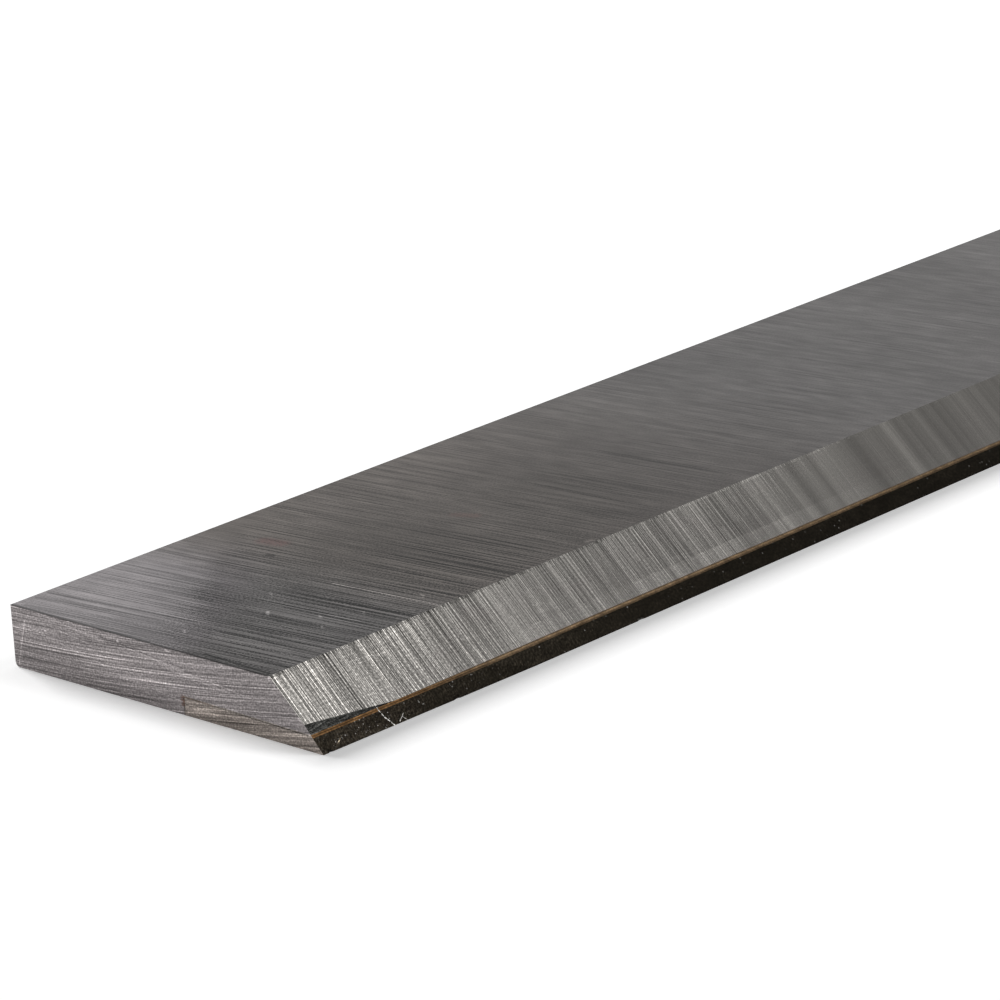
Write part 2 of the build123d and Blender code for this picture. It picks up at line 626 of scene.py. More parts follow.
def mark(tree, place, start, stop, width):
    """A mask for a straight mark between two points, soft at its sides."""
    rel, share = way_along(tree, place, start, stop)
    share = calc(tree, "MINIMUM", calc(tree, "MAXIMUM", share, 0.0), 1.0)
    near = add(tree, "VectorMath", {0: tuple(stop - start), "Scale": share}, operation="SCALE").outputs[0]
    away = add(tree, "VectorMath", {0: rel, 1: near}, operation="DISTANCE").outputs["Value"]
    return step(tree, away, firm_part * width, width, 1.0, 0.0)


print(f"The middle {firm_part:.0%} of a mark is at full strength")

# %% [markdown]
# The tone of a finish is kept as a power of two: 1 doubles the brightness and -1 halves it, as a stop does
# in photography. Lines, grain, patches, shades and marks are all added up in this measure, and one Power
# node turns the sum into a factor for the colour. If brightness itself were added up, deep lines would go
# below black, and two light scratches that cross would glare.

# %% The tone of a finish
grain_size = (0.09, 0.11)  # mm
grain_seed, broad_seed = 30, 40
cap_softness = 0.5


def calmed(tree, metres, calm):
    """How much of the lines is left. A calm stretch has the share that is left and the runs into it."""
    left = 1.0
    for share, *runs in calm:
        part = calc(tree, "MULTIPLY_ADD", ramps(tree, metres, runs), share - 1.0, 1.0)
        left = calc(tree, "MULTIPLY", left, part)
    return left


def line_tone(tree, lines, fine, grain, cap, left):
    """Lines and fine grain, held below a cap, as far as the surface is not calm."""
    tone = calc(tree, "MULTIPLY_ADD", calc(tree, "SUBTRACT", fine, 0.5), grain, lines)
    return calc(tree, "MULTIPLY", calc(tree, "SMOOTH_MIN", tone, cap, cap_softness), left)


def place_tone(tree, metres, tone, shades, marks):
    """Add shades, each a strength and its runs, and marks: start, stop, width in mm and strength."""
    for strength, *runs in shades:
        tone = calc(tree, "MULTIPLY_ADD", ramps(tree, metres, runs), strength, tone)
    for start, stop, width, strength in marks:
        tone = calc(tree, "MULTIPLY_ADD", mark(tree, metres, start, stop, width * MM), strength, tone)
    return tone


print(f"Grain: {grain_size[0]} x {grain_size[1]} mm")

# %% [markdown]
# Bare metal has no colour but that of its reflections, and the base colour of a metallic shader tints them.
# A cast shifts this tint over a stretch of the knife, as a thin film of oil or the heat of grinding does.
# On the top face one cast is the tint of painted shade.
# The tone then makes it lighter and darker.

# %% Colour and casts
def blend(tree, mask, below, above):
    """Lay a colour over another by a mask. Sockets 0, 6 and 7 are the mask and the two colours."""
    return add(tree, "Mix", {0: mask, 6: below, 7: (*above, 1)}, data_type="RGBA").outputs[2]


def paint(tree, metres, colour, casts, tone):
    """The plain colour with its casts, each a colour and its runs, made lighter and darker by the tone."""
    plain = add(tree, "RGB").outputs[0]
    plain.default_value = (*colour, 1)
    for cast, *runs in casts:
        plain = blend(tree, ramps(tree, metres, runs), plain, cast)
    factor = calc(tree, "POWER", 2.0, tone)
    return add(tree, "VectorMath", {0: plain, "Scale": factor}, operation="SCALE").outputs[0]


print("A tone of -1, 0 and 1 multiplies the colour by", [2.0 ** tone for tone in (-1, 0, 1)])

# %% [markdown]
# Specks are painted glints: bright dots where a grain or a pore catches the light. Voronoi cells give one
# dot each, and only a share of the cells is used, by the colour that each cell draws for itself. Stains
# cover the metal with another colour, such as rust, fresh metal in a scratch or the grey of a fracture, and
# the grain breaks them up.

# %% Specks and stains
fresh_metal_and_glint = (0.42, 0.41, 0.39)
firm_dot = 0.4             # how much of a speck's size is at full strength
stain_start, stain_stop = 0.3, 0.5


def sprinkle(tree, metres, place, painted, specks):
    """Add specks: cells for each mm, size, share of the cells, strength and runs."""
    for per_mm, size, share, strength, *runs in specks:
        cells = add(tree, "TexVoronoi", {"Vector": place, "Scale": per_mm, "Randomness": 1.0})
        dot = step(tree, cells.outputs["Distance"], size * firm_dot, size, 1.0, 0.0)
        red = add(tree, "SeparateColor", {0: cells.outputs["Color"]}).outputs[0]
        dot = calc(tree, "MULTIPLY", dot, calc(tree, "GREATER_THAN", red, 1 - share))
        dot = calc(tree, "MULTIPLY", dot, calc(tree, "MULTIPLY", ramps(tree, metres, runs), strength))
        # each speck is a painted glint, blended in the colour of fresh metal
        painted = blend(tree, dot, painted, fresh_metal_and_glint)
    return painted


def stain(tree, metres, fine, painted, stains):
    """Add stains: start, stop, width in mm, strength and tint."""
    for start, stop, width, strength, tint in stains:
        spot = calc(tree, "MULTIPLY", mark(tree, metres, start, stop, width * MM), strength)
        spot = calc(tree, "MULTIPLY", spot, step(tree, fine, stain_start, stain_stop))
        painted = blend(tree, spot, painted, tint)
    return painted


print("Fresh metal:", fresh_metal_and_glint)

# %% [markdown]
# The rim of a wheel leaves shallow arcs in place of straight lines. Bending the lines themselves would take
# a curve for each. It is enough to shift the place that the noise looks at, a little further for every
# millimetre along the line. The same lines raise the surface by fractions of a micron through a Bump node,
# which breaks up the reflections without any more points in the mesh.

# %% Arcs and relief
wave_seed = 60


def bent(tree, place, slope, curve):
    """Shift a place sideways as it goes along, so that straight lines become shallow arcs."""
    axes = add(tree, "SeparateXYZ", {0: place}).outputs
    aside = calc(tree, "MULTIPLY", axes[1], calc(tree, "MULTIPLY_ADD", axes[1], -curve, slope))
    shifted = calc(tree, "ADD", axes[0], aside)
    return add(tree, "CombineXYZ", {0: shifted, 1: axes[1], 2: axes[2]}).outputs[0]


def emboss(tree, shader, place, lines, bump, waves, seed):
    """Raise the surface by its lines, and by broad waves if it has them. Both count in microns."""
    height = calc(tree, "MULTIPLY", lines, bump * MICRON)
    if waves:
        height = calc(tree, "MULTIPLY_ADD", lay_lines(tree, place, waves, seed + wave_seed), MICRON, height)
    relief = add(tree, "Bump", {"Height": height, "Strength": 1.0, "Distance": 1.0}).outputs[0]
    tree.links.new(relief, shader.inputs["Normal"])


print("A wave of 2 is", 2 * MICRON / MM, "mm high")

# %% [markdown]
# Ground metal stretches every reflection across its lines. Thousands of real grooves would do that, and so
# does the shader's anisotropy, once its tangent points across the lines. The surface is also a little
# rougher where the lines are deep. The metal's edge tint is set below white, so that it does not flare up
# where it is seen at a flat angle.

# %% Polish
edge_tint = (0.6, 0.6, 0.6, 1)


def polish(tree, shader, lines, roughness, across, stretch):
    """Metal that stretches its reflections across the lines and is rougher where they are deep."""
    rough = step(tree, lines, -1.0, 1.0, roughness[1], roughness[0])
    tree.links.new(rough, shader.inputs["Roughness"])
    side = add(tree, "CombineXYZ", {0: across[0], 1: across[1], 2: across[2]}).outputs[0]
    tree.links.new(side, shader.inputs["Tangent"])
    shader.inputs["Metallic"].default_value = 1.0
    shader.inputs["Specular Tint"].default_value = edge_tint
    shader.inputs["Anisotropic"].default_value = stretch


print("Edge tint:", edge_tint)

# %% [markdown]
# One function now makes a whole finish. The place of every pixel comes in metres on the piece. It is turned
# until its Y runs along the lines and counted in millimetres, and all the noise is drawn there. Masks for
# shades and marks keep to the metres. What a finish does not name is left out, so the plain ones stay small.
# The plainest is on the back edge, which was ground along the bar and is duller than the rest.

# %% A ground finish, and the back edge
def ground(name, colour, turn, layers, roughness, seed, grain=1.0, threads=(), cap=9.0, calm=(), broad=(),
           shades=(), marks=(), casts=(), specks=(), stains=(), bump=2.0, waves=(), bend=(0, 0),
           across=(1, 0, 0), stretch=0.9):
    """A ground metal surface. The lines run along the turned Y, and `across` points across them."""
    material = bpy.data.materials.new(name)
    material.use_nodes = True
    tree = material.node_tree
    shader = tree.nodes["Principled BSDF"]
    metres = add(tree, "TexCoord").outputs["Object"]
    place = add(tree, "Mapping", {"Vector": metres, "Rotation": turn, "Scale": (1 / MM,) * 3}).outputs[0]
    if any(bend):
        place = bent(tree, place, *bend)
    lines = wheel_lines(tree, place, layers, threads, seed)
    fine = strokes(tree, place, *grain_size, 0.0, seed + grain_seed)
    left = calmed(tree, metres, calm)
    tone = line_tone(tree, lines, fine, grain, cap, left)
    if broad:
        tone = calc(tree, "ADD", tone, lay_lines(tree, place, broad, seed + broad_seed))
    tone = place_tone(tree, metres, tone, shades, marks)
    painted = paint(tree, metres, colour, casts, tone)
    painted = sprinkle(tree, metres, place, painted, specks)
    painted = stain(tree, metres, fine, painted, stains)
    tree.links.new(painted, shader.inputs["Base Color"])
    lines = calc(tree, "MULTIPLY", lines, left)
    emboss(tree, shader, place, lines, bump, waves, seed)
    polish(tree, shader, lines, roughness, across, stretch)
    print(f"{name}: {len(tree.nodes)} nodes")
    return material


back_steel = ground(
    "back_edge_steel", colour=(0.14, 0.135, 0.13), turn=(pi / 2, 0, pi / 2), roughness=(0.2, 0.4), seed=4.0,
    layers=[(0.3, 10.0, 2.0), (0.12, 3.0, 2.4)], across=(0, 0, 1))

# %% [markdown]
# Marks are counted in millimetres, along the knife from its near end and across it from the back edge. A
# table of such numbers is easy to read and to change, and one function per side turns them into places.

# %% Places on the flat sides
def on_top(along, from_back):
    """A place on the top face."""
    return Vector((near_end + along * MM, back_y - from_back * MM, top_z))


def on_flat(along, from_back):
    """A place on the flat face."""
    return Vector((near_end + along * MM, back_y - from_back * MM, 0))


def on_end(from_back, down):
    """A place on the near end."""
    return Vector((near_end, back_y - from_back * MM, top_z - down * MM))


def marks_on(place, table):
    """Marks from a table. Each row has two numbers for each end, the width in mm and the strength."""
    return [(place(a, b), place(c, d), width, strength) for a, b, c, d, width, strength in table]


print("The near back corner:", tuple(round(c / MM, 2) for c in on_top(0, 0)))

# %% [markdown]
# The near end of the bevel and of the facet was ground deeper than the rest. So a place that is counted on
# the whole bevel lies just above the metal there, and a mark drawn at it would miss. A line of sight from
# the camera through the counted place finds the metal itself.

# %% Places on the slopes
facet_slope = atan2(nose.z, nose.y - edge_y)
graph = bpy.context.evaluated_depsgraph_get()
solids = [BVHTree.FromObject(frame["nodes"][node], graph)
          for node in ("steel_body", "braze_layer", "carbide_strip")]


def seen(point):
    """Where the camera's line of sight through a point meets the knife."""
    ray = (point - camera_place).normalized()
    hits = [hit for hit in (solid.ray_cast(camera_place, ray) for solid in solids) if hit[0]]
    hits = hits or [solid.find_nearest(point) for solid in solids]
    return min(hits, key=lambda hit: hit[3])[0]


def on_slope(along, down):
    """A place on the bevel, counted down from its upper edge."""
    return seen(Vector((near_end + along * MM, 0, 0)) + bevel_top + down_slope * down * MM)


def on_facet(along, up):
    """A place on the facet, counted up from the cutting edge."""
    y, z = edge_y + up * MM * cos(facet_slope), up * MM * sin(facet_slope)
    return seen(Vector((near_end + along * MM, y, z)))


print("The near upper corner of the bevel:", tuple(round(c / MM, 2) for c in on_slope(0, 0)))

# %% [markdown]
# The marks on the top face were put down one by one: dark and light scratches that run with the lines,
# small bright nicks, and a painted dark reflection along the rim of the near end, where the broken edge
# mirrors nothing bright. Only what catches the eye is listed. Everything finer is left to the noise.

# %% Marks on the top face
top_marks = marks_on(on_top, [
    (2.1, 0.3, 3.15, 9.0, 0.11, -0.9),
    (1.35, 0.3, 1.95, 4.5, 0.11, -0.6),
    (0.35, 0.6, 0.75, 3.0, 0.1, -0.8),
    (0.75, 3.0, 1.25, 9.5, 0.1, -0.8),
    (5.65, 2.6, 6.2, 6.3, 0.13, -0.5),
    (5.15, 0.3, 6.95, 9.0, 0.18, 0.2),
    (6.95, 9.0, 7.2, 11.9, 0.18, 0.5),
    (4.7, 11.4, 5.2, 15.2, 0.16, 0.5),
    (2.15, 11.1, 2.55, 16.0, 0.13, 0.5),
    (11.58, 5.1, 11.65, 5.35, 0.22, -1.3),
    (10.39, 10.55, 10.91, 16.71, 0.15, 1.2),
    # these three rows are a painted dark reflection along the rim of the near end
    (0.0, 0.0, 0.0, 9.0, 0.2, -2.4),
    (0.0, 9.0, 0.0, 16.6, 0.13, -2.0),
    (0.42, 12.3, 0.25, 16.5, 0.1, -1.8),
    (21.3, 16.4, 21.5, 16.5, 0.25, 0.9),
    (7.23, 13.31, 7.38, 15.1, 0.11, 0.8),
    (8.2, 14.55, 8.35, 14.35, 0.12, 1.2),
    (5.8, 14.3, 5.9, 14.15, 0.12, 1.2),
    (6.72, 13.3, 6.85, 13.1, 0.12, 1.2),
    (5.6, 11.0, 5.95, 10.7, 0.14, 1.4),
    (7.6, 9.3, 7.95, 8.85, 0.12, 0.8),
    (1.87, 9.5, 2.0, 9.35, 0.13, 1.3),
    (11.3, 15.3, 11.55, 15.0, 0.14, 1.0),
])
print("Top face:", len(top_marks), "marks")

# %% [markdown]
# The top face was ground at a small skew, so its lines run almost straight across the bar. The near corner
# mirrors a lamp and is light up to a slanting border. The brightness of the patch is not painted, since a
# mirror image moves when the knife is turned: the lamp that makes it is hung later, along this same border.
# Inside the patch the lines are calmed, as painted light that stands in for the lamp's reflection washing
# them out. Very little bump keeps the border crisp, while low broad waves make it waver as a hand-ground
# face does. Beyond the border the face is darkened and given its own tint by painted shade, and further
# along it gets calmer and more even.

# %% The top face
skew = radians(5.5)
border = [on_top(8.3, 7.0), on_top(0.55, 11.4)]
border_run = (border[1] - border[0]).normalized()
to_light = Vector((border_run.y, -border_run.x, 0))
painted_shade_tint, warm_cast = (0.142, 0.135, 0.133), (0.151, 0.135, 0.124)
top_steel = ground(
    "top_face_steel", colour=(0.146, 0.135, 0.138), turn=(0, 0, -skew), roughness=(0.042, 0.055), seed=1.0,
    layers=[(0.3, 14.0, 0.4), (0.1, 14.0, 4.2), (0.05, 10.0, 21.0)],
    threads=[(0.5, 12.0, 0.02, -1.8), (1.6, 7.0, 0.015, 0.7)],
    broad=[(7.0, 16.0, 0.6), (1.2, 7.0, 0.45), (0.45, 1.8, 0.8)], waves=[(0.6, 6.0, 2.0)],
    grain=8.5, cap=1.1, bump=0.04, marks=top_marks,
    # the first cast tints the face beyond the border of the light patch: the colour of its painted shade
    casts=[(painted_shade_tint, (border[0] + 1.0 * MM * to_light, border[0] - 1.5 * MM * to_light)),
           (warm_cast, (on_top(7, 0), on_top(14, 0)), (on_top(48, 0), on_top(22, 0)))],
    # the first calm stretch lies inside the light patch: painted light that washes out the lines there
    calm=[(0.34, (border[0] + 1.0 * MM * to_light, border[0] + 3.0 * MM * to_light)),
          (0.4, (on_top(5, 12), on_top(5, 12) + 13 * MM * level)),
          (0.3, (on_top(16, 12), on_top(16, 12) + 20 * MM * level))],
    # painted shade: darker from the back edge towards the bevel, over the first 28 to 42 mm
    shades=[(-0.64, (on_top(0, 1), on_top(0, 10)), (on_top(42, 0), on_top(28, 0)))],
    stains=[(on_top(12.95, 3.5), on_top(13.1, 4.4), 0.7, 0.7, (0.17, 0.10, 0.095)),
            (on_top(20.8, 8.5), on_top(21.2, 9.4), 0.5, 0.6, (0.15, 0.10, 0.09))])

# %% [markdown]
# The bevel was ground straight down its slope by a coarse wheel, so its lines are short and bold, and light
# and dark bands follow each other where the wheel pressed more or less. A few of the bands are put down as
# very wide marks. One long scratch runs from the bevel over the braze to the cutting edge. It is drawn once
# and given to all the finishes that it crosses.

# %% The bevel
long_scratch = [(on_slope(3.99, 2.83), on_facet(3.98, 1.0), 0.035, 0.5, fresh_metal_and_glint),
                (on_facet(3.98, 1.0), on_facet(4.05, 0.6), 0.035, 0.7, fresh_metal_and_glint),
                (on_facet(4.05, 0.6), on_facet(4.2, 0.3), 0.035, 0.8, fresh_metal_and_glint),
                (on_facet(4.2, 0.3), on_facet(4.4, 0.07), 0.035, 0.8, fresh_metal_and_glint)]
slope_turn = (-bevel_slope, 0, 0)
band_top, band_foot = 0.05, 3.0    # mm down the slope
bevel_bands = [(0.1, 0.9, 0.45), (8.6, 0.8, -0.25), (10.3, 0.9, -0.3), (14.5, 1.6, 0.4), (20.1, 2.0, -0.3),
               (22.5, 0.9, 0.2), (26.4, 1.0, 0.2), (30.0, 1.2, -0.27), (32.7, 1.1, 0.5), (34.5, 1.0, 0.3),
               (38.4, 1.4, 0.4), (40.6, 1.3, -0.4), (44.5, 1.2, -0.35), (47.7, 1.5, -0.25)]
bevel_steel = ground(
    "bevel_steel", colour=(0.0805, 0.077, 0.072), turn=slope_turn, roughness=(0.07, 0.12), seed=2.0,
    layers=[(0.3, 50.0, 1.2), (0.09, 40.0, 2.6), (0.045, 12.0, 8.5)],
    threads=[(0.5, 30.0, 0.02, 1.7), (0.5, 20.0, 0.02, -1.2), (0.9, 1.2, 0.02, 0.5, 88.0)],
    broad=[(3.0, 90.0, 0.6), (0.8, 60.0, 1.0)], grain=3.0, bump=0.5, stains=long_scratch,
    marks=marks_on(on_slope, [(along, band_top, along, band_foot, width, strength)
                              for along, width, strength in bevel_bands]),
    # painted shade and painted light: darker from about 3 to 34 mm, most between 8 and 20 mm, and lighter
    # from 18 mm on, shaping the fall of the lamp's reflection along the knife
    shades=[(-0.36, (on_slope(3, 1), on_slope(8, 1)), (on_slope(34, 1), on_slope(20, 1))),
            (0.58, (on_slope(18, 1), on_slope(40, 1)))],
    calm=[(0.4, (on_slope(6, 1), on_slope(16, 1))), (0.3, (on_slope(22, 1), on_slope(37, 1)))])

# %% [markdown]
# The near end was ground with the rim of a wheel, which leaves shallow arcs. Steel, braze and carbide were
# ground in one go, so their three finishes share the same lines, arcs and marks, and only the colours
# differ. They could be one material, but a finish of its own lets each metal keep its name. The marks are
# single scratches, nicks, painted shade along the broken upper edge and the dark crack beside the braze.

# %% Marks on the near end
end_marks = marks_on(on_end, [
    (0.88, 0.62, 0.25, 2.82, 0.05, 0.9),
    (15.0, 2.19, 18.46, 1.57, 0.04, 0.8),
    (13.8, 2.07, 14.9, 2.13, 0.04, 0.6),
    (11.8, 1.84, 15.4, 1.31, 0.035, 0.5),
    (10.3, 1.57, 17.2, 0.53, 0.035, 0.4),
    (12.8, 1.05, 16.0, 1.36, 0.035, 0.5),
    (4.8, 0.27, 11.2, 0.76, 0.04, -0.7),
    (7.2, 0.5, 11.2, 0.91, 0.04, 0.5),
    (0.5, 0.86, 7.1, 0.45, 0.05, 0.4),
    (0.55, 1.89, 5.3, 1.55, 0.05, -0.6),
    (0.3, 2.39, 7.3, 2.14, 0.05, -0.5),
    (4.8, 2.86, 10.5, 2.7, 0.05, -0.6),
    # the next two rows are painted shade along the broken upper edge
    (0.0, 0.0, 16.6, 0.0, 0.06, -1.6),
    (12.3, 0.0, 16.6, 0.0, 0.04, -0.8),
    (2.2, 0.82, 2.3, 0.82, 0.07, 1.2),
    (7.05, 0.33, 7.15, 0.32, 0.07, 1.4),
    (16.68, 0.1, 16.74, 0.06, 0.1, 1.3),
    (16.98, 0.42, 17.0, 0.45, 0.08, 0.9),
    (18.35, 1.62, 18.5, 1.72, 0.1, 0.7),
    (10.2, 0.12, 10.4, 0.14, 0.07, 0.9),
    (13.6, 0.1, 13.8, 0.12, 0.07, 0.9),
    (11.16, 2.2, 11.16, 2.95, 0.06, -1.5),
])
print("Near end:", len(end_marks), "marks")

# %% [markdown]
# The steel of the near end is a cool grey, the carbide a little warmer. What the wheel left is the same on
# all three metals, so it is kept in one place and handed to each finish. Rust sits where water creeps in, at
# the foot of the upright braze and at the corner of the strip. It is laid on as small stains, so that the
# lines of the wheel still show in it.

# %% The near end
rust = (0.11, 0.052, 0.032)
wheel_arc = (0.118, 0.00415)       # slope at the back edge and bend for each millimetre
end_wheel = {
    "turn": (0, pi / 2, 0), "across": (0, 0, 1), "bend": wheel_arc, "seed": 3.0,
    "layers": [(0.25, 14.0, 0.35), (0.08, 12.0, 1.5), (0.045, 8.0, 2.6), (0.035, 0.8, 1.3)],
    "threads": [(0.5, 8.0, 0.03, -0.9), (1.1, 8.0, 0.016, 0.5, -12.0), (0.7, 9.0, 0.02, 0.8)]}
# painted shade: the steel and the carbide of the near end are darker towards the foot of the end
end_painted_shade = [(-0.24, (on_end(8, 1.0), on_end(8, 3.0)))]
end_steel = ground(
    "end_steel", colour=(0.243, 0.222, 0.222), roughness=(0.25, 0.4), grain=2.2, marks=end_marks,
    shades=end_painted_shade, stains=[(on_end(11.06, 2.15), on_end(11.08, 2.5), 0.16, 0.7, rust)], **end_wheel)
end_carbide = ground(
    "end_carbide", colour=(0.26, 0.227, 0.205), roughness=(0.25, 0.4), grain=2.2, marks=end_marks,
    shades=end_painted_shade, stains=[(on_end(18.3, 2.25), on_end(18.6, 2.25), 0.12, 0.8, rust)], **end_wheel)
seam_marks = marks_on(on_end, [(11.2, 2.14, 18.9, 2.28, 0.035, -0.6), (15, 2.22, 18.9, 2.28, 0.04, -1.0)])
braze_end = ground(
    "braze_end", colour=(0.225, 0.20, 0.18), roughness=(0.3, 0.5), grain=2.6, marks=end_marks + seam_marks,
    stains=[(on_end(11.13, 2.1), on_end(11.13, 2.5), 0.1, 0.9, rust),
            (on_end(11.2, 2.12), on_end(13.0, 2.17), 0.05, 0.4, rust)], **end_wheel)

# %% [markdown]
# At the near end the fine facet climbs a little way up the steel, and that sliver is nearly as dark and
# smooth as the carbide below it. Its very dark colour is a painted reflection of the dark side of the room,
# as on the carbide. It is seen small, so a plain finish with the long scratch in it is enough.

# %% The facet on the steel
facet_steel = ground(
    "facet_steel", colour=(0.0135, 0.0134, 0.0125), turn=slope_turn, roughness=(0.1, 0.2), seed=5.0,
    layers=[(3.0, 0.3, 2.5), (0.5, 0.08, 3.0)], grain=4.0, stains=long_scratch)

# %% [markdown]
# The braze shows as a thin orange line between bevel and facet. It is softer than its neighbours, so it has
# spots in place of lines and does not stretch its reflections. It is reddest at the near end, gets darker
# along its lower side further on, and has a dark seam along its middle.

# %% The braze line
braze_metal = ground(
    "braze_metal", colour=(0.086, 0.047, 0.020), turn=slope_turn, roughness=(0.35, 0.5), seed=6.0,
    layers=[(0.7, 0.3, 1.6), (0.12, 0.12, 1.6)], stretch=0.0,
    casts=[((0.118, 0.080, 0.047), (on_facet(5, 1), on_facet(12, 1)))],
    shades=[(-1.5, (on_facet(20, 1.05), on_facet(20, 0.92)), (on_facet(4, 1), on_facet(9, 1)))],
    marks=[(seam_line[0], seam_line[1], 0.04, -1.2)], stains=long_scratch)

# %% [markdown]
# The facet of the carbide was ground so finely that it is a dark mirror, and what it mirrors is the dark
# side of the room. A very dark colour paints that reflection at every angle of view, where a real mirror
# would depend on the room. Bright specks are painted glints, where grains and pores of the carbide catch
# the light, most of them near the end. The fractures in the chips are lighter, and two short scratches lie
# beside the long one.

# %% The facet of the carbide
fracture = (0.16, 0.155, 0.145)
spot_reach, spot_rise = 0.3, 0.05  # a spot covers this much of a chip to each side, this far above the edge
chip_spots = [(on_facet(along - spot_reach * width, spot_rise),
               on_facet(along + spot_reach * width, spot_rise), 0.07, 0.5, fracture)
              for along, width, depth in chips]
facet_scratches = [(on_facet(5.11, 0.44), on_facet(4.68, 0.17), 0.03, 0.5, fresh_metal_and_glint),
                   (on_facet(4.95, 0.31), on_facet(5.09, 0.08), 0.03, 0.5, fresh_metal_and_glint)]
facet_carbide = ground(
    "facet_carbide", colour=(0.0086, 0.0072, 0.0052), turn=slope_turn, roughness=(0.08, 0.15), seed=9.0,
    layers=[(1.0, 0.6, 1.5), (0.12, 0.15, 2.0)], grain=2.6,
    specks=[(6.0, 0.3, 0.05, 0.25), (9.0, 0.28, 0.1, 0.3, (on_facet(14, 0.5), on_facet(4, 0.5))),
            (14.0, 0.3, 0.25, 0.12, (on_facet(8, 0.5), on_facet(3, 0.5)))],
    marks=marks_on(on_facet, [(1.0, 0.42, 1.35, 0.62, 0.04, 2.2), (0.85, 0.36, 1.1, 0.46, 0.04, 2.4)]),
    stains=chip_spots + long_scratch + facet_scratches)

# %% [markdown]
# The flat face lies on the table and is not seen in the photograph. Such a face is ground like the top one,
# but more evenly, and it is guessed here as a plain satin with two small spots of rust. Steel and carbide
# share its lines, because they were ground together.

# %% The flat face
flat_layers = [(0.5, 10.0, 0.8), (0.12, 9.0, 1.4), (0.05, 7.0, 2.6)]
flat_steel = ground(
    "flat_face_steel", colour=(0.146, 0.135, 0.13), turn=(0, 0, -skew), roughness=(0.15, 0.3), seed=10.0,
    layers=flat_layers, bump=0.3,
    stains=[(on_flat(3.1, 7.9), on_flat(3.4, 7.4), 0.5, 0.5, rust),
            (on_flat(61.0, 4.0), on_flat(61.6, 3.8), 0.4, 0.4, rust)])
flat_carbide = ground(
    "flat_carbide", colour=(0.15, 0.135, 0.125), turn=(0, 0, -skew), roughness=(0.15, 0.3), seed=10.0,
    layers=flat_layers, bump=0.3)

# %% [markdown]
# Each shape now becomes a piece of the scene. It gets its finishes in the order of its sides, stays at the
# origin with its place in its mesh, and rides on the one body that the knife has. It takes the place of the
# node that it was copied from, so the plain solid is hidden and the two never lie in each other.

# %% The three pieces
def finish_piece(form, name, node, materials):
    """Turn a shape into a piece that dresses its node."""
    data = bpy.data.meshes.new(name)
    form.to_mesh(data)
    form.free()
    piece = bpy.data.objects.new(name, data)
    scene.collection.objects.link(piece)
    for material in materials:
        data.materials.append(material)
    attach(piece, "root")
    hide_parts(node)
    print(f"{name}: {sum(len(p.vertices) - 2 for p in data.polygons)} triangles, {len(materials)} finishes")
    return piece


finish_piece(steel, "steel_body_ground", "steel_body",
             [top_steel, bevel_steel, end_steel, back_steel, facet_steel, flat_steel])
finish_piece(braze, "braze_line", "braze_layer", [braze_metal, braze_end])
finish_piece(carbide, "carbide_edge", "carbide_strip",
             [end_carbide, facet_carbide, flat_carbide])

# %% [markdown]
# The knife lies on white. The floor has to look white and still take the shadow, without throwing more
# light onto the metal. So it is pale, and it glows a little for rays that come straight from the camera, off
# a mirror or through glass. Light that is spread about the room does not see the glow.

# %% The floor
floor_size = 6.0
floor_gap = 0.01 * MM
floor_glow = 0.21
floor_colour = (0.95, 0.95, 0.95)


def seen_directly(tree):
    """1 for rays from the camera, from a mirror or through glass, and 0 for light that is spread."""
    path = add(tree, "LightPath")
    either = calc(tree, "MAXIMUM", path.outputs["Is Camera Ray"], path.outputs["Is Glossy Ray"])
    return calc(tree, "MAXIMUM", either, path.outputs["Is Transmission Ray"])


bpy.ops.mesh.primitive_plane_add(size=floor_size, location=(0, 0, -floor_gap))
floor = bpy.context.object
floor.name = "floor"
pale = bpy.data.materials.new("pale_floor")
pale.use_nodes = True
tree = pale.node_tree
shader = tree.nodes["Principled BSDF"]
shader.inputs["Base Color"].default_value = (*floor_colour, 1)
shader.inputs["Roughness"].default_value = 1.0
shader.inputs["Specular IOR Level"].default_value = 0.0
shader.inputs["Emission Color"].default_value = (1, 1, 1, 1)
tree.links.new(calc(tree, "MULTIPLY", seen_directly(tree), floor_glow), shader.inputs["Emission Strength"])
floor.data.materials.append(pale)
print(f"Floor: {floor_size:.0f} m wide, {floor_gap / MM:.2f} mm below the knife")

# %% [markdown]
# Behind the floor the world is white as well, again only for what is seen directly. For everything else it
# gives a weak even light, like the far walls of a studio. It fills the shadow, and the lamps do the rest.

# %% The studio
sky_light = 0.143
studio = bpy.data.worlds.new("studio")
scene.world = studio
studio.use_nodes = True
tree = studio.node_tree
background = tree.nodes["Background"]
background.inputs["Color"].default_value = (1, 1, 1, 1)
tree.links.new(step(tree, seen_directly(tree), 0.0, 1.0, sky_light, 1.0), background.inputs["Strength"])
print(f"Sky light: {sky_light} of white")

# %% [markdown]
# Metal shows what stands around it, and soft wide lamps make soft wide highlights. An area lamp is such a
# softbox. Its power is worked out from its brightness and its size, so that a lamp can be made larger
# without making its mirror image lighter, and a radiance of 1 looks as bright as the background.

# %% A softbox
upright = Vector((0, 0, 1))


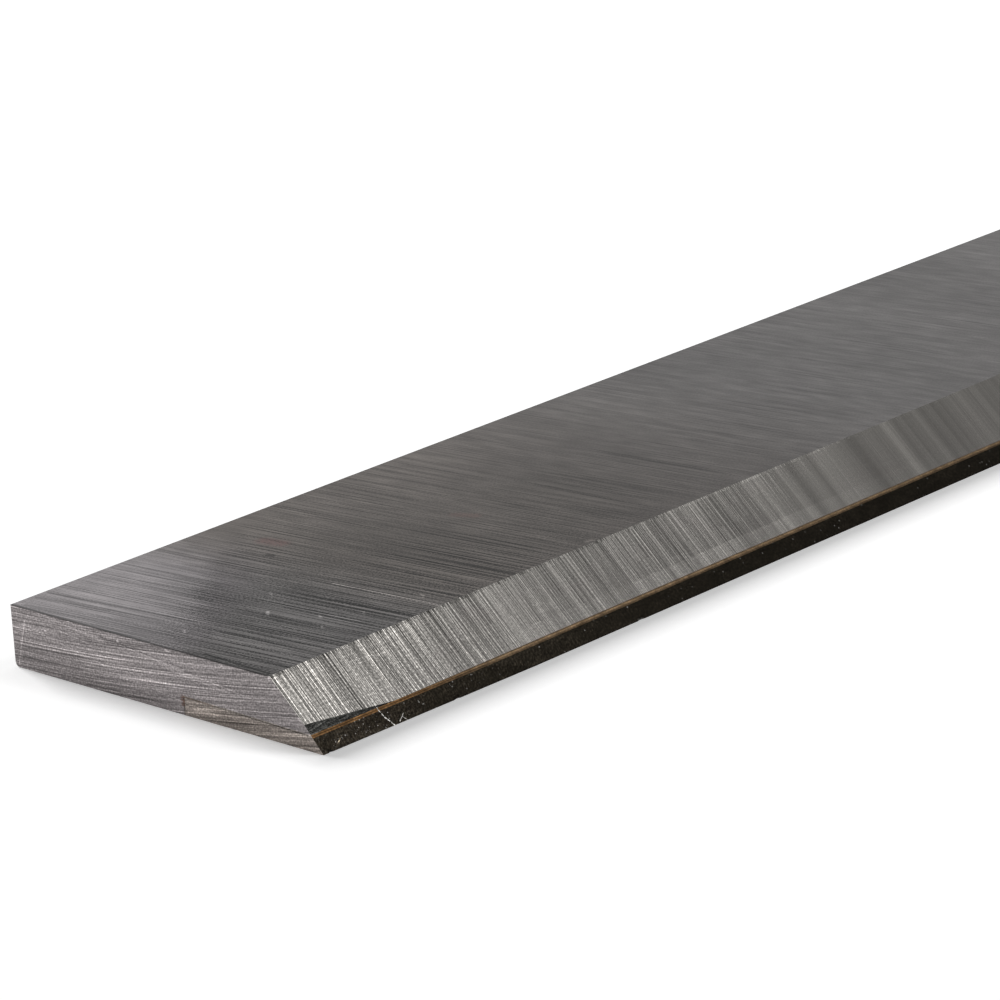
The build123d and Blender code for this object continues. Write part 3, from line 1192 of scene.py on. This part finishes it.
def softbox(name, place, target, radiance, size, edge_along=upright):
    """A soft area lamp that faces a target. A radiance of 1 is as bright as the white background."""
    lamp = bpy.data.lights.new(name, "AREA")
    lamp.shape = "RECTANGLE"
    lamp.size, lamp.size_y = size
    lamp.energy = radiance * pi * size[0] * size[1]
    facing = (target - place).normalized()
    up = (edge_along - edge_along.dot(facing) * facing).normalized()
    right = up.cross(-facing)
    box = bpy.data.objects.new(name, lamp)
    scene.collection.objects.link(box)
    axes = Matrix((right, up, -facing)).transposed().to_4x4()
    box.matrix_world = Matrix.Translation(place) @ axes
    print(f"{name}: {lamp.energy:.1f} W over {size[0] * size[1]:.2f} square metres")
    return box


print("Lamps so far:", len(bpy.data.lights))

# %% [markdown]
# The first lamp makes the light patch on the near corner. Seen in the top face, one of its edges has to lie
# on the border of the patch. So a ray from the camera is mirrored at both ends of the border, and that edge
# of the lamp is hung between the two rays. Moving a lamp about by eye would take many tries.

# %% The lamp of the light patch
patch_distance = 1.5
patch_size = (0.40, 0.56)
patch_end = -0.003         # how far the lamp reaches past the first end of the border


def mirrored(point, normal):
    """Where a ray from the camera goes after it meets a flat mirror at this point."""
    ray = (point - camera_place).normalized()
    return ray - 2 * ray.dot(normal) * normal


ends = [place + patch_distance * mirrored(place, upright) for place in border]
facing = (border[0] - ends[0]).normalized()
lamp_edge = (ends[0] - ends[1]).normalized()
lamp_edge = (lamp_edge - lamp_edge.dot(facing) * facing).normalized()
inward = lamp_edge.cross(-facing)
inward = inward if inward.y > 0 else -inward
patch_place = ends[0] + 0.5 * patch_size[0] * inward + (patch_end - 0.5 * patch_size[1]) * lamp_edge
softbox("patch_softbox", patch_place, border[0], radiance=0.85, size=patch_size, edge_along=lamp_edge)

# %% [markdown]
# The bevel is brightest at the near end and fades along the knife. A small lamp close by, where the near end
# of the bevel mirrors it, gives most of that fall, and painted shade and painted light on the bevel shape
# the rest. It is moved a little out past the end, so that the brightness drops evenly.

# %% The lamp of the bevel
bevel_lamp_distance, bevel_lamp_aside = 0.45, Vector((0.07, 0, 0))
near_bevel = Vector((near_end, -8 * MM, 2 * MM))       # about the middle of the bevel, at its near end
bevel_lamp_place = near_bevel + bevel_lamp_distance * mirrored(near_bevel, bevel_normal) - bevel_lamp_aside
softbox("bevel_softbox", bevel_lamp_place, near_bevel, radiance=3.4, size=(0.16, 0.16))

# %% [markdown]
# Two large lamps light the whole. The high one is mirrored broadly in the top face. The low one is strong
# and throws the soft shadow in front of the knife. A face that mirrors it squarely would be white all over,
# which happens when the knife is seen from the front, so glossy rays do not see it. Dimming it would cost
# the shadow.

# %% The low and the high lamp
lamp_target = Vector((-0.09, 0, 0))
lamp_distance = 1.5


def toward(heading, height):
    """A direction by its heading from +X and its height above the floor, in degrees."""
    a, h = radians(heading), radians(height)
    return Vector((cos(h) * cos(a), cos(h) * sin(a), sin(h)))


low_softbox = softbox("low_softbox", lamp_target + lamp_distance * toward(86, 33.5), lamp_target,
                      radiance=33.0, size=(0.68, 0.32))
low_softbox.visible_glossy = False
softbox("high_softbox", lamp_target + lamp_distance * toward(28.6, 67.9), lamp_target,
        radiance=1.15, size=(0.72, 0.92))
